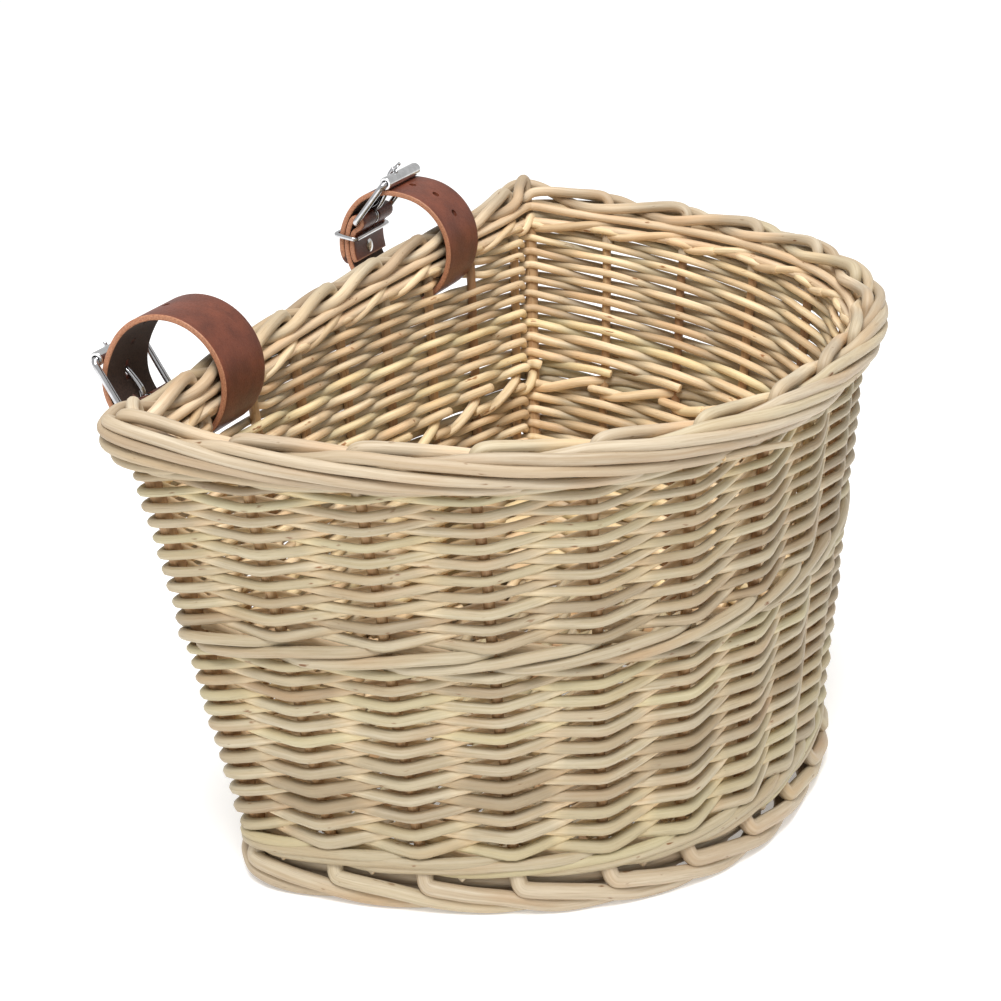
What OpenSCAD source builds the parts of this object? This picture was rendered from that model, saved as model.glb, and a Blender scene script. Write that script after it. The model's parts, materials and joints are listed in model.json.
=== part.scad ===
// Woven willow handlebar basket, D-shaped in plan, with two leather straps and roller buckles.
// Frame: +Z up, +Y towards the handlebar, X along the handlebar. The origin is on the ground, in the middle of
// the width, under the middle line of the back wall's foot.
// Every band of the wall is one ring swept round the D-shaped plan, and follows the flare of the wall.

/* [Basket] */
// Width of the wall between its back corners, at full height
basket_w = 320; // [280:5:360]
// Depth of the wall from the corner line to the front, at full height
basket_d = 174; // [150:2:200]
// Height from the ground to the top of the border
basket_h = 172; // [160:1:200]
// Width of the wall between its back corners, at the ground
base_w = 241; // [220:1:260]
// Depth of the wall from the corner line to the front, at the ground
base_d = 144; // [125:1:150]
// How far the corner line leans forward at the ground
base_lean = 19.5; // [10:0.5:25]
// Roundness of the front: 2 is an ellipse, more is squarer
roundness = 2.45; // [2.1:0.05:3]
// How far the middle of the back wall bows towards the handlebar
back_bow = 9; // [5:0.5:9]
// Thickness of the woven wall, rods and stakes together
wall_t = 11.4; // [10.5:0.1:12]

/* [Bands] */
// Height of the foot border
foot_h = 12; // [10:0.5:13]
// Height of the top of the bottom wale
bottom_wale_top = 22; // [21:0.5:26]
// Height of the top of the lower siding
lower_siding_top = 91; // [85:0.5:95]
// Height of the top of the mid wale
mid_wale_top = 100; // [99:0.5:105]
// Height of the top of the upper siding
upper_siding_top = 148.5; // [140:0.5:149]
// Height of the top of the wale under the border
top_wale_top = 155; // [154:0.5:157]
// Gap between neighbouring bands
band_gap = 0.2; // [0.1:0.05:0.4]
// How far the border stands out past the middle of the front wall
front_overhang = 10.5; // [8:0.5:14]
// How far the border stands out past the middle of the back wall
back_overhang = 5.8; // [5:0.1:5.8]
// How far the border reaches inside the middle of the wall
border_inside = 4.5; // [3:0.1:4.6]
// How much further the border stands out at the two back corners
corner_bulge = 3; // [0:0.5:4]
// How far the border rises at the two back corners
corner_lift = 4; // [0:0.5:6]

/* [Stakes] */
// Number of stakes in the front wall
front_stakes = 14; // [11:1:16]
// Number of stakes in the back wall
back_stakes = 9; // [9:2:9]
// Share of the half width at which the outermost back stakes stand
back_spread = 0.92; // [0.91:0.01:0.93]
// Radius of a stake
stake_r = 2.2; // [1.8:0.1:2.4]
// Radius of a corner post
post_r = 3; // [2.6:0.1:3.2]
// Radial clearance of a stake in the weave
stake_gap = 0.1; // [0.05:0.05:0.2]

/* [Floor] */
// Thickness of the floor weave
floor_t = 8; // [7.5:0.5:9]
// Number of floor sticks
floor_sticks = 7; // [5:2:7]
// Distance from one floor stick to the next
stick_pitch = 29; // [26:1:30]
// Radius of a floor stick
stick_r = 2.5; // [2.2:0.1:2.8]

/* [Straps] */
// Distance of each strap's middle from the middle of the basket
strap_x = 89; // [88:0.5:90]
// Width of a strap
strap_w = 27; // [24:0.5:27]
// Thickness of the leather
strap_t = 2; // [1.8:0.1:2]
// Inner radius of the closed strap loop
loop_r = 20.5; // [20.4:0.1:21]
// Distance from the middle of the back wall to the loop's centre
loop_out = 13.6; // [13.4:0.1:13.8]
// Height of the loop's centre above the ground
loop_z = 163; // [162.5:0.25:163.5]
// Radius of the punched holes
punch_r = 1.5; // [1.3:0.1:1.6]
// Angle from the buckle of the right strap to the buckle of the left strap, round the loop
left_turn = -70; // [-70:1:-50]

/* [Buckles] */
// Radius of the buckle's wire frame
wire_r = 1.2; // [1.1:0.05:1.25]
// Outer radius of the roller
roller_r = 2.5; // [2.2:0.1:2.6]
// Radius of the prong
prong_r = 1.05; // [0.9:0.05:1.1]
// Radius of the keeper's wire
keeper_r = 0.9; // [0.8:0.05:1]
// Radial running clearance of the roller and the prong on the frame
run_gap = 0.08; // [0.05:0.01:0.1]

/* [Hidden] */
$fn = 48;

front_n = 36;
back_n = 16;
border_n = 14;
wale_n = 10;
stake_foot = foot_h + 0.9;
channel_over = 0.5;
stake_cover = 5;
band_crown = 0.8;
wale_half = 6.4;
foot_out = 8;
foot_in = 9;
floor_inset = 7.4;
stick_shoulder = 4.2;
corner_reach = 18;
overhang_reach = 40;

willow = "burlywood";
willow_dark = "tan";
leather = "saddlebrown";
steel = "silver";

// ---- D-shaped plan ------------------------------------------------------------------------------------

function mix(a, b, t) = a + (b - a) * t;
function smooth(t) = let (c = max(0, min(1, t))) c * c * (3 - 2 * c);
function half_w(z) = mix(base_w, basket_w, z / basket_h) / 2;
function depth(z) = mix(base_d, basket_d, z / basket_h);
function corner_y(z) = mix(-back_bow, base_lean - back_bow, z / basket_h);
function back_y(x, z) = corner_y(z) + back_bow * (1 - pow(x / half_w(z), 2));
function front_y(x, z) = corner_y(z) - depth(z) * pow(1 - pow(abs(x) / half_w(z), roundness), 1 / roundness);
function front_point(t, z) =
    let (c = cos(180 * t), s = sin(180 * t))
    [
        half_w(z) * sign(c) * pow(abs(c), 2 / roundness),
        corner_y(z) - depth(z) * pow(max(0, s), 2 / roundness)
    ];
// The middle line of the wall at height z: round the front from the +X corner, then along the back
function plan(z) = [
    for (i = [0:front_n]) front_point(i / front_n, z),
    for (i = [1:back_n - 1]) let (x = half_w(z) * (2 * i / back_n - 1)) [x, back_y(x, z)]
];
function unit(v) = v / norm(v);
function outward(a, b) = unit([a[1] - b[1], b[0] - a[0]]);
function miter(p, i) =
    let (
        n = len(p),
        n1 = outward(p[(i + n - 1) % n], p[i]),
        n2 = outward(p[i], p[(i + 1) % n])
    )
    (n1 + n2) / (1 + n1 * n2);
function grown(p, by) = [for (i = [0:len(p) - 1]) p[i] + miter(p, i) * by];

// ---- rings swept round the plan -----------------------------------------------------------------------

// section(i) gives the points [offset from the middle of the wall, height] of the ring at plan point i
module ring_from(points) {
    n = len(points);
    m = len(points[0]);
    faces = [
        for (i = [0:n - 1], j = [0:m - 1], half = [0, 1])
            let (i2 = (i + 1) % n, j2 = (j + 1) % m)
            half == 0 ? [i * m + j, i * m + j2, i2 * m + j2] : [i * m + j, i2 * m + j2, i2 * m + j]
    ];
    polyhedron(points = [for (p = points) each p], faces = faces, convexity = 10);
}

function ring_point(i, offset, z) =
    let (p = plan(z), q = p[i] + miter(p, i) * offset)
    [q[0], q[1], z];

module band(z0, z1) {
    count = front_n + back_n;
    h = wall_t / 2;
    low = z0 + band_crown;
    high = z1 - band_crown;
    section = [[-h, low], [0, z0], [h, low], [h, high], [0, z1], [-h, high]];
    ring_from([for (i = [0:count - 1]) [for (s = section) ring_point(i, s[0], s[1])]]);
}

module wale(z0, z1) {
    count = front_n + back_n;
    mid = (z0 + z1) / 2;
    section = [
        for (j = [0:wale_n - 1])
            let (a = 360 * (j + 0.5) / wale_n)
            [wale_half * sign(cos(a)) * pow(abs(cos(a)), 0.6), mid + (z1 - z0) / 2 * sin(a)]
    ];
    ring_from([for (i = [0:count - 1]) [for (s = section) ring_point(i, s[0], s[1])]]);
}

// How much of the front overhang the border has at plan point i: none at the back wall
function front_share(i) =
    let (p = plan(basket_h)[i])
    i > front_n ? 0 : smooth((corner_y(basket_h) - p[1]) / overhang_reach);
// How near plan point i is to a back corner: 1 at the corner, falling to 0
function nearness(i) =
    let (p = plan(basket_h)[i], away = norm([abs(p[0]) - basket_w / 2, p[1] - corner_y(basket_h)]))
    exp(-pow(away / corner_reach, 2));

module border_ring(z0, z1) {
    count = front_n + back_n;
    ring_from([
        for (i = [0:count - 1])
            let (
                out = mix(back_overhang, front_overhang, front_share(i)) + corner_bulge * nearness(i),
                centre = (out - border_inside) / 2,
                half = (out + border_inside) / 2,
                mid = (z0 + z1) / 2
            )
            [
                for (j = [0:border_n - 1])
                    let (
                        a = 360 * (j + 0.5) / border_n,
                        q = ring_point(i, centre + half * cos(a), mid + (z1 - z0) / 2 * sin(a))
                    )
                    q + [0, 0, corner_lift * nearness(i) * (1 + sin(a)) / 2]
            ]
    ]);
}

// ---- stakes -------------------------------------------------------------------------------------------

function running(p, i = 0, sum = 0) =
    i == len(p) - 1 ? [[sum, i]] : concat([[sum, i]], running(p, i + 1, sum + norm(p[i + 1] - p[i])));
// Plan positions of the front stakes, evenly spaced along the front at half height
front_marks =
    let (
        p = [for (i = [0:front_n]) plan(basket_h / 2)[i]],
        lengths = running(p),
        total = lengths[front_n][0]
    )
    [for (k = [0:front_stakes - 1]) lookup(total * (k + 1) / (front_stakes + 1), lengths)];
function between(p, u) = mix(p[floor(u)], p[floor(u) + 1], u - floor(u));
function at_height(q, z) = [q[0], q[1], z];
function front_stake(k, z) = at_height(between(plan(z), front_marks[k]), z);
function back_stake(k, z) =
    let (x = half_w(z) * back_spread * (2 * k / (back_stakes - 1) - 1))
    [x, back_y(x, z), z];
function corner_stake(side, z) = [side * (half_w(z) - 1), corner_y(z) - 0.5, z];

module rod(a, b, r) {
    d = b - a;
    translate(a)
        rotate([0, acos(d[2] / norm(d)), atan2(d[1], d[0])])
            cylinder(h = norm(d), r = r);
}

module stakes(z0, z1, extra) {
    for (k = [0:front_stakes - 1])
        rod(front_stake(k, z0), front_stake(k, z1), stake_r + extra);
    for (k = [0:back_stakes - 1])
        rod(back_stake(k, z0), back_stake(k, z1), stake_r + extra);
}

module posts(z0, z1, extra) {
    for (side = [-1, 1])
        rod(corner_stake(side, z0), corner_stake(side, z1), post_r + extra);
}

// Removes the space of the stakes and posts from the ring it is given
module staked() {
    difference() {
        children();
        stakes(foot_h - channel_over, basket_h - stake_cover + channel_over, stake_gap);
        posts(foot_h - channel_over, basket_h - stake_cover + channel_over, stake_gap);
    }
}

module foot_border() {
    color(willow_dark)
        linear_extrude(foot_h)
            difference() {
                polygon(grown(plan(0), foot_out));
                polygon(grown(plan(0), -foot_in));
            }
}

module side_stakes() {
    color(willow) stakes(stake_foot, basket_h - stake_cover, 0);
}

module corner_posts() {
    color(willow) posts(stake_foot, basket_h - stake_cover, 0);
}

module bottom_wale() {
    color(willow_dark) staked() wale(foot_h + band_gap, bottom_wale_top);
}

module lower_siding() {
    color(willow) staked() band(bottom_wale_top + band_gap, lower_siding_top);
}

module mid_wale() {
    color(willow_dark) staked() wale(lower_siding_top + band_gap, mid_wale_top);
}

module upper_siding() {
    color(willow)
        difference() {
            staked() band(mid_wale_top + band_gap, upper_siding_top);
            strap_tunnels();
        }
}

module top_wale() {
    color(willow_dark)
        difference() {
            staked() band(upper_siding_top + band_gap, top_wale_top);
            strap_tunnels();
        }
}

module rim_border() {
    color(willow) staked() border_ring(top_wale_top + band_gap, basket_h);
}

// ---- floor --------------------------------------------------------------------------------------------

floor_z = foot_h + 0.5;
stick_z = floor_z + floor_t / 2;

module floor_rods(extra_r, extra_l) {
    for (k = [0:floor_sticks - 1]) {
        x = (k - (floor_sticks - 1) / 2) * stick_pitch;
        y0 = front_y(abs(x) + stick_shoulder, floor_z) + floor_inset + 1 - extra_l;
        y1 = back_y(x, floor_z) - floor_inset - 1 + extra_l;
        rod([x, y0, stick_z], [x, y1, stick_z], stick_r + extra_r);
    }
}

module base_sticks() {
    color(willow) floor_rods(0, 0);
}

module base_weave() {
    color(willow_dark)
        difference() {
            translate([0, 0, floor_z])
                linear_extrude(floor_t) polygon(grown(plan(floor_z), -floor_inset));
            floor_rods(stake_gap, 12);
        }
}

// ---- straps: shapes are drawn round the loop's centre, [towards the handlebar, up], and extruded along X -

fold_r = wire_r + 0.12;
layer_mid = loop_r + strap_t / 2;
bar_polar = 27;
bar_radius = loop_r - fold_r;
fold_mid = fold_r + strap_t / 2;
tip_mid = loop_r + strap_t + 0.2 + strap_t / 2;
tip_end = -22;
tip_rise = [45, 100];
inner_mid = loop_r - 0.2 - strap_t / 2;
inner_at_bar = bar_radius - fold_mid;
inner_start = 12;
roller_polar = 80;
keeper_polar = 8.5;
rivet_polar = -10;
step = 5;
tunnel_gap = 0.8;

function polar(r, a) = [r * cos(a), r * sin(a)];
function tip_r(a) = mix(tip_mid, layer_mid, smooth((a - tip_rise[0]) / (tip_rise[1] - tip_rise[0])));
function inner_r(a) = mix(inner_mid, inner_at_bar, smooth((a - inner_start) / (bar_polar - inner_start)));
bar_at = polar(bar_radius, bar_polar);
front_bar_r = tip_r(roller_polar) + strap_t / 2 + 0.15 + roller_r;
front_bar_at = polar(front_bar_r, roller_polar);
frame_l = norm(front_bar_at - bar_at);
along = (front_bar_at - bar_at) / frame_l;
away = [along[1], -along[0]];
function on_frame(a, g) = bar_at + along * a + away * g;

strap_line = [
    for (a = [tip_end:step:tip_rise[1]]) polar(tip_r(a), a),
    for (a = [tip_rise[1] + step:step:360 + bar_polar - 2]) polar(layer_mid, a),
    for (a = [0:20:180]) bar_at + polar(fold_mid, bar_polar + a),
    for (a = [bar_polar - 3:-3:inner_start]) polar(inner_r(a), a),
    for (a = [inner_start - step:-step:tip_end]) polar(inner_mid, a)
];
function side_of(p, i) =
    let (d = unit(p[min(i + 1, len(p) - 1)] - p[max(i - 1, 0)]))
    [d[1], -d[0]];
function thick(p, t) = concat(
    [for (i = [0:len(p) - 1]) p[i] + side_of(p, i) * t / 2],
    [for (i = [len(p) - 1:-1:0]) p[i] - side_of(p, i) * t / 2]
);

module along_x(width) {
    rotate([90, 0, 90])
        translate([0, 0, -width / 2])
            linear_extrude(width) children();
}

module bar_x(at, r, width) {
    translate([-width / 2, at[0], at[1]])
        rotate([0, 90, 0])
            cylinder(h = width, r = r);
}

// A rod across the loop's thickness, at polar angle a
module radial(a, r0, r1, r) {
    rod(at_x(0, polar(r0, a)), at_x(0, polar(r1, a)), r);
}
function at_x(x, q) = [x, q[0], q[1]];

prong_hole_a = 14.2;
punch_angles = [39, 92, 118, 144];

module strap() {
    difference() {
        along_x(strap_w) polygon(thick(strap_line, strap_t));
        // slot in the fold that the prong turns in
        bar_x(bar_at, fold_mid + strap_t / 2 + 0.1, 3.2);
        // the punched hole in use, long enough for the prong to lift
        translate(at_x(0, on_frame(prong_hole_a, 1.6)))
            rotate([-38 + atan2(along[1], along[0]), 0, 0])
                cube([2 * prong_r + 0.8, 8.6, 7], center = true);
        for (a = punch_angles)
            radial(a, tip_r(a) - strap_t, tip_r(a) + strap_t, punch_r);
        radial(rivet_polar, inner_mid - 3, loop_r + strap_t + 0.1, 1.55);
        radial(rivet_polar, loop_r + strap_t - 0.6, loop_r + strap_t + 0.15, 3.1);
    }
}

module rivet() {
    radial(rivet_polar, inner_mid - 2, loop_r + strap_t, 1.5);
    radial(rivet_polar, inner_mid - 2, inner_mid - strap_t / 2 - 0.3, 2.7);
    radial(rivet_polar, loop_r + strap_t - 0.55, loop_r + strap_t + 0.05, 3);
}

frame_half = strap_w / 2 + 0.6 + wire_r;
roller_w = 2 * (frame_half - wire_r - 0.2);

module buckle_frame() {
    for (at = [bar_at, front_bar_at])
        bar_x(at, wire_r, 2 * frame_half);
    for (x = [-frame_half, frame_half]) {
        rod(at_x(x, bar_at), at_x(x, front_bar_at), wire_r);
        for (at = [bar_at, front_bar_at])
            translate(at_x(x, at))
                sphere(r = wire_r * 1.06);
    }
}

module buckle_roller() {
    difference() {
        bar_x(front_bar_at, roller_r, roller_w);
        bar_x(front_bar_at, wire_r + run_gap, roller_w + 2);
    }
}

prong_ring = 2.7;
prong_rest = roller_r + prong_r + 0.12;

module buckle_prong() {
    joints = [on_frame(0, 0), on_frame(13.2, 1.1), on_frame(18, prong_rest), on_frame(frame_l + 4, prong_rest)];
    difference() {
        union() {
            bar_x(bar_at, prong_ring, 2 * prong_r + 0.3);
            for (i = [0:2])
                rod(at_x(0, joints[i]), at_x(0, joints[i + 1]), prong_r);
            for (i = [1:3])
                translate(at_x(0, joints[i]))
                    sphere(r = prong_r * 1.06);
        }
        bar_x(bar_at, wire_r + run_gap, 6);
    }
}

module keeper() {
    low = inner_mid - strap_t / 2 - 0.2 - keeper_r;
    high = tip_mid + strap_t / 2 + 0.2 + keeper_r;
    half = strap_w / 2 + 0.4 + keeper_r;
    corners = [
        at_x(-half, polar(low, keeper_polar)), at_x(half, polar(low, keeper_polar)),
        at_x(half, polar(high, keeper_polar)), at_x(-half, polar(high, keeper_polar))
    ];
    for (i = [0:3]) {
        rod(corners[i], corners[(i + 1) % 4], keeper_r);
        translate(corners[i])
            sphere(r = keeper_r * 1.08);
    }
}

loop_y = back_y(strap_x, basket_h) + loop_out;

module at_loop(side) {
    translate([side * strap_x, loop_y, loop_z])
        rotate([side < 0 ? left_turn : 0, 0, 0])
            children();
}

// The curved way through the wall that each loop can be pulled along
module strap_tunnels() {
    arc = [for (a = [185:7.5:275]) a];
    outline = concat(
        [for (a = arc) polar(loop_r + strap_t + tunnel_gap, a)],
        [for (i = [len(arc) - 1:-1:0]) polar(loop_r - tunnel_gap, arc[i])]
    );
    for (side = [-1, 1])
        translate([side * strap_x, loop_y, loop_z])
            along_x(strap_w + 1.4) polygon(outline);
}

module left_strap() { color(leather) at_loop(-1) strap(); }
module left_buckle_frame() { color(steel) at_loop(-1) buckle_frame(); }
module left_buckle_roller() { color(steel) at_loop(-1) buckle_roller(); }
module left_buckle_prong() { color(steel) at_loop(-1) buckle_prong(); }
module left_keeper() { color(steel) at_loop(-1) keeper(); }
module left_rivet() { color(steel) at_loop(-1) rivet(); }
module right_strap() { color(leather) at_loop(1) strap(); }
module right_buckle_frame() { color(steel) at_loop(1) buckle_frame(); }
module right_buckle_roller() { color(steel) at_loop(1) buckle_roller(); }
module right_buckle_prong() { color(steel) at_loop(1) buckle_prong(); }
module right_keeper() { color(steel) at_loop(1) keeper(); }
module right_rivet() { color(steel) at_loop(1) rivet(); }

foot_border();
base_sticks();
base_weave();
side_stakes();
corner_posts();
bottom_wale();
lower_siding();
mid_wale();
upper_siding();
top_wale();
rim_border();
left_strap();
left_buckle_frame();
left_buckle_roller();
left_buckle_prong();
left_keeper();
left_rivet();
right_strap();
right_buckle_frame();
right_buckle_roller();
right_buckle_prong();
right_keeper();
right_rivet();
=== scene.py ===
import json
import math

import bmesh
import bpy
import numpy as np
from mathutils import Matrix, Vector


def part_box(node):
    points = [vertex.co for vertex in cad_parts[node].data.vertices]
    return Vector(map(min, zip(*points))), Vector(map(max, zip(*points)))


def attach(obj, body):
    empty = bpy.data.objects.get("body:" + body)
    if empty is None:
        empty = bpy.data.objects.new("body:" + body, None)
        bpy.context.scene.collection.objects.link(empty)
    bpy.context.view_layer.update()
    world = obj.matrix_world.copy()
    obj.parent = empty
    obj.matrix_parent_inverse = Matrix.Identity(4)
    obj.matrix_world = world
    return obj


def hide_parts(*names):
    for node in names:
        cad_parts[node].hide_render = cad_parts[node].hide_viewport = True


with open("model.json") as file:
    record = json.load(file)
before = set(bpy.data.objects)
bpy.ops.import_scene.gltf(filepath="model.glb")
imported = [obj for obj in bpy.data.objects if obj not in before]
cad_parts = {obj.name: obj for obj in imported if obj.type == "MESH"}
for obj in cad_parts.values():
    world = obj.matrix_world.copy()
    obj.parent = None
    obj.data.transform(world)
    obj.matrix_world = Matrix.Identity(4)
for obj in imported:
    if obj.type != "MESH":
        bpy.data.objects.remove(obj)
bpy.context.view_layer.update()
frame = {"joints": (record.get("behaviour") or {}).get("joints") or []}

scene = bpy.context.scene
MM = 0.001


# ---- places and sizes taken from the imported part, in millimetres ----

def span(node, axis):
    """Where a CAD node starts and ends along an axis."""
    low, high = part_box(node)
    return low[axis] / MM, high[axis] / MM


def joint_place(name):
    joint = next(j for j in frame["joints"] if j["name"] == name)
    return np.array(joint["pos_m"]) / MM


FOOT_TOP, BOTTOM_WALE_TOP, LOWER_TOP, MID_WALE_TOP, UPPER_TOP = (
    span(node, 2)[1] for node in ("foot_border", "bottom_wale", "lower_siding", "mid_wale", "upper_siding"))
RIM_LOW = span("rim_border", 2)[0]
STAKE_LOW = span("side_stakes", 2)[0]
FLOOR_LOW, FLOOR_TOP = span("base_weave", 2)
LOOP = {"left": joint_place("left_strap_turn"), "right": joint_place("right_strap_turn")}

# The D-shaped plan of the wall: half width, depth and corner line at full height and at the ground
FULL_H = 172.0
RIM_PLAN = (160.0, 174.0, 10.5)
BASE_PLAN = (120.5, 144.0, -9.0)
CORNER_Y = RIM_PLAN[2]
# exponent of the superellipse of the front, and how far the back wall bows out in its middle
ROUNDNESS = 2.45
BACK_BOW = 9.0
BASE_BOW = 13.0
# points of the plan before it is divided evenly, and samples round the wall after
FRONT_POINTS, BACK_POINTS = 1500, 700
WALL_SAMPLES = 1640
FRONT_STAKES = 14
BACK_STAKES = 9
# the share of the back wall's width that its stakes span
BACK_SPREAD = 0.92
STAKE_R = 1.85
POST_R = 2.7


# ---- the wall as a surface: u runs round it from the -X corner past the front, off is outward ----

def plan_curve(half_w, depth, corner_y, bow):
    t = np.linspace(math.pi, 0, FRONT_POINTS, endpoint=False)
    c, s = np.cos(t), np.sin(t)
    x = half_w * np.sign(c) * np.abs(c) ** (2 / ROUNDNESS)
    y = corner_y - depth * np.maximum(s, 0) ** (2 / ROUNDNESS)
    xb = half_w * np.linspace(1, -1, BACK_POINTS, endpoint=False)
    yb = corner_y + bow * (1 - (xb / half_w) ** 2)
    return np.column_stack([np.r_[x, xb], np.r_[y, yb]])


def gaussian(wide, sigma, reach):
    """Smooths rows of points that were widened by reach at both ends."""
    k = np.exp(-0.5 * (np.arange(-reach, reach + 1) / sigma) ** 2)
    k /= k.sum()
    return np.column_stack([np.convolve(column, k, "valid") for column in wide.T])


def soften_round(p, sigma):
    """Smooths a closed run of points; sigma in samples."""
    reach = int(4 * sigma)
    return gaussian(np.concatenate([p[-reach:], p, p[:reach]]), sigma, reach)


def soften(p, sigma):
    """Smooths an open path and keeps its ends; sigma in samples."""
    reach = max(1, int(3 * sigma))
    head = 2 * p[0] - p[reach:0:-1]
    tail = 2 * p[-1] - p[-2:-reach - 2:-1]
    return gaussian(np.concatenate([head, p, tail]), sigma, reach)


rim_curve = plan_curve(*RIM_PLAN, BACK_BOW)
base_curve = plan_curve(*BASE_PLAN, BASE_BOW)
mid_curve = (rim_curve + base_curve) / 2
steps = np.linalg.norm(np.roll(mid_curve, -1, 0) - mid_curve, axis=1)
lengths = np.r_[0, np.cumsum(steps)]
ROUND_MM = lengths[-1]
SAMPLE_MM = ROUND_MM / WALL_SAMPLES
FRONT_U = lengths[FRONT_POINTS] / SAMPLE_MM
marks = np.interp(np.arange(WALL_SAMPLES) * SAMPLE_MM, lengths, np.arange(len(lengths)))


def resampled(curve):
    closed = np.vstack([curve, curve[:1]])
    i = np.floor(marks).astype(int)
    f = (marks - i)[:, None]
    return closed[i] * (1 - f) + closed[i + 1] * f


# the wall's plan at full height and at the ground, and the way out of it, at every sample
CORNER_SOFT_MM = 2.4
BASE_SOFT_MM = 9.0
NORMAL_SOFT_MM = 5.0
RIM = soften_round(resampled(rim_curve), CORNER_SOFT_MM / SAMPLE_MM)
BASE = soften_round(resampled(base_curve), BASE_SOFT_MM / SAMPLE_MM)
around = np.roll(RIM + BASE, -1, 0) - np.roll(RIM + BASE, 1, 0)
around /= np.linalg.norm(around, axis=1)[:, None]
OUT = soften_round(np.column_stack([around[:, 1], -around[:, 0]]), NORMAL_SOFT_MM / SAMPLE_MM)
OUT /= np.linalg.norm(OUT, axis=1)[:, None]

stake_u = [0.0]
stake_u += [FRONT_U * (k + 1) / (FRONT_STAKES + 1) for k in range(FRONT_STAKES)]
stake_u += [FRONT_U]
for k in range(BACK_STAKES):
    share = (1 - BACK_SPREAD * (1 - 2 * k / (BACK_STAKES - 1))) / 2
    stake_u.append(FRONT_U + (WALL_SAMPLES - FRONT_U) * share)
STAKES = len(stake_u)
CORNERS = (0, FRONT_STAKES + 1)
stake_u_closed = np.array(stake_u + [WALL_SAMPLES])
stake_size = np.array([POST_R if m in CORNERS else STAKE_R for m in range(STAKES)] + [POST_R])


def at_stake(m):
    """Place along the wall of stake number m, which may be any real number."""
    m = np.asarray(m, float)
    turns = np.floor(m / STAKES)
    return np.interp(m - turns * STAKES, np.arange(STAKES + 1), stake_u_closed) + turns * WALL_SAMPLES


def stake_radius(m):
    m = np.asarray(m, float)
    return np.interp(np.mod(m, STAKES), np.arange(STAKES + 1), stake_size)


def on_wall(u, z, off):
    """Points of the wall: u in samples round it, z the height and off the distance out, in millimetres."""
    u, z, off = np.broadcast_arrays(np.asarray(u, float), np.asarray(z, float), np.asarray(off, float))
    k = np.mod(u, WALL_SAMPLES)
    i = np.floor(k).astype(int) % WALL_SAMPLES
    f = (k - np.floor(k))[:, None]
    j = (i + 1) % WALL_SAMPLES
    h = (z / FULL_H)[:, None]
    base = BASE[i] * (1 - f) + BASE[j] * f
    rim = RIM[i] * (1 - f) + RIM[j] * f
    out = OUT[i] * (1 - f) + OUT[j] * f
    xy = base * (1 - h) + rim * h + out * off[:, None]
    return np.column_stack([xy, z])


def smooth(t):
    """Eases from 0 to 1."""
    t = np.clip(t, 0, 1)
    return t * t * (3 - 2 * t)


def wobble(rng, s, size):
    """A slow irregular wave along a rod; s in millimetres."""
    total = np.zeros_like(s)
    for wave in (31.0, 67.0, 149.0):
        total += np.sin(2 * np.pi * s / (wave * rng.uniform(0.8, 1.25)) + rng.uniform(0, 6.28))
    return total * size / 1.7


# The straps pass through the back wall: rods near them keep to one side of the leather
STRAP_IN, STRAP_OUT = 20.3, 22.7
STRAP_HALF = 13.5
# a rod starts to give way this far from the strap's middle, and has fully done so at its edge
GIVE_FROM, GIVE_BY = 22.0, STRAP_HALF + 1.5
# where rods are looked at: distance from the strap's middle, behind the corner line, and height
ZONE, ZONE_DEPTH, ZONE_LOW = 24.0, 14.0, 125.0
ROD_CROSSES = 12.0


def clear_straps(path, radius):
    """Moves the parts of a rod that would run into a strap to the side of the leather they are nearest."""
    path = path.copy()
    for loop in LOOP.values():
        away = np.abs(path[:, 0] - loop[0])
        near = (away < ZONE) & (path[:, 1] > CORNER_Y - ZONE_DEPTH) & (path[:, 2] > ZONE_LOW)
        if not near.any():
            continue
        ids = np.flatnonzero(near)
        for run in np.split(ids, np.flatnonzero(np.diff(ids) > 1) + 1):
            middle = run[np.argmin(away[run])]
            if away[middle] > ROD_CROSSES:
                continue
            height = path[middle, 2] - loop[2]
            wall_y = CORNER_Y + BACK_BOW * (1 - (loop[0] / RIM_PLAN[0]) ** 2)
            inside_loop = math.hypot(wall_y - loop[1], height) < (STRAP_IN + STRAP_OUT) / 2
            r = np.broadcast_to(radius, (len(path),))[run]
            dz = path[run, 2] - loop[2]
            share = smooth((GIVE_FROM - away[run]) / (GIVE_FROM - GIVE_BY))
            reach = STRAP_IN - r if inside_loop else STRAP_OUT + r
            limit = loop[1] - np.sqrt(np.maximum(reach ** 2 - dz ** 2, 0))
            target = (np.maximum if inside_loop else np.minimum)(path[run, 1], limit)
            path[run, 1] += (target - path[run, 1]) * share
    return path


# ---- meshes ----

def fill_mesh(name, verts, quads, tris):
    """A smooth-shaded mesh from rows of millimetre points and of point numbers."""
    mesh = bpy.data.meshes.new(name)
    nq, nt = len(quads), len(tris)
    mesh.vertices.add(len(verts))
    mesh.vertices.foreach_set("co", (np.asarray(verts) * MM).astype(np.float32).ravel())
    mesh.loops.add(4 * nq + 3 * nt)
    flat = np.concatenate([np.asarray(quads, np.int32).ravel(), np.asarray(tris, np.int32).ravel()])
    mesh.loops.foreach_set("vertex_index", flat)
    mesh.polygons.add(nq + nt)
    starts = np.concatenate([np.arange(nq) * 4, 4 * nq + np.arange(nt) * 3]).astype(np.int32)
    mesh.polygons.foreach_set("loop_start", starts)
    mesh.update(calc_edges=True)
    mesh.polygons.foreach_set("use_smooth", np.ones(nq + nt, bool))
    mesh.validate()
    return mesh


def tube_quads(rings, sides, closed=False):
    """Faces between rings of points that follow each other."""
    i = np.arange(rings if closed else rings - 1)[:, None] * sides
    i2 = (i + sides) % (rings * sides)
    j = np.arange(sides)
    j2 = (j + 1) % sides
    return np.stack([i + j, i + j2, i2 + j2, i2 + j], -1).reshape(-1, 4)


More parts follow.
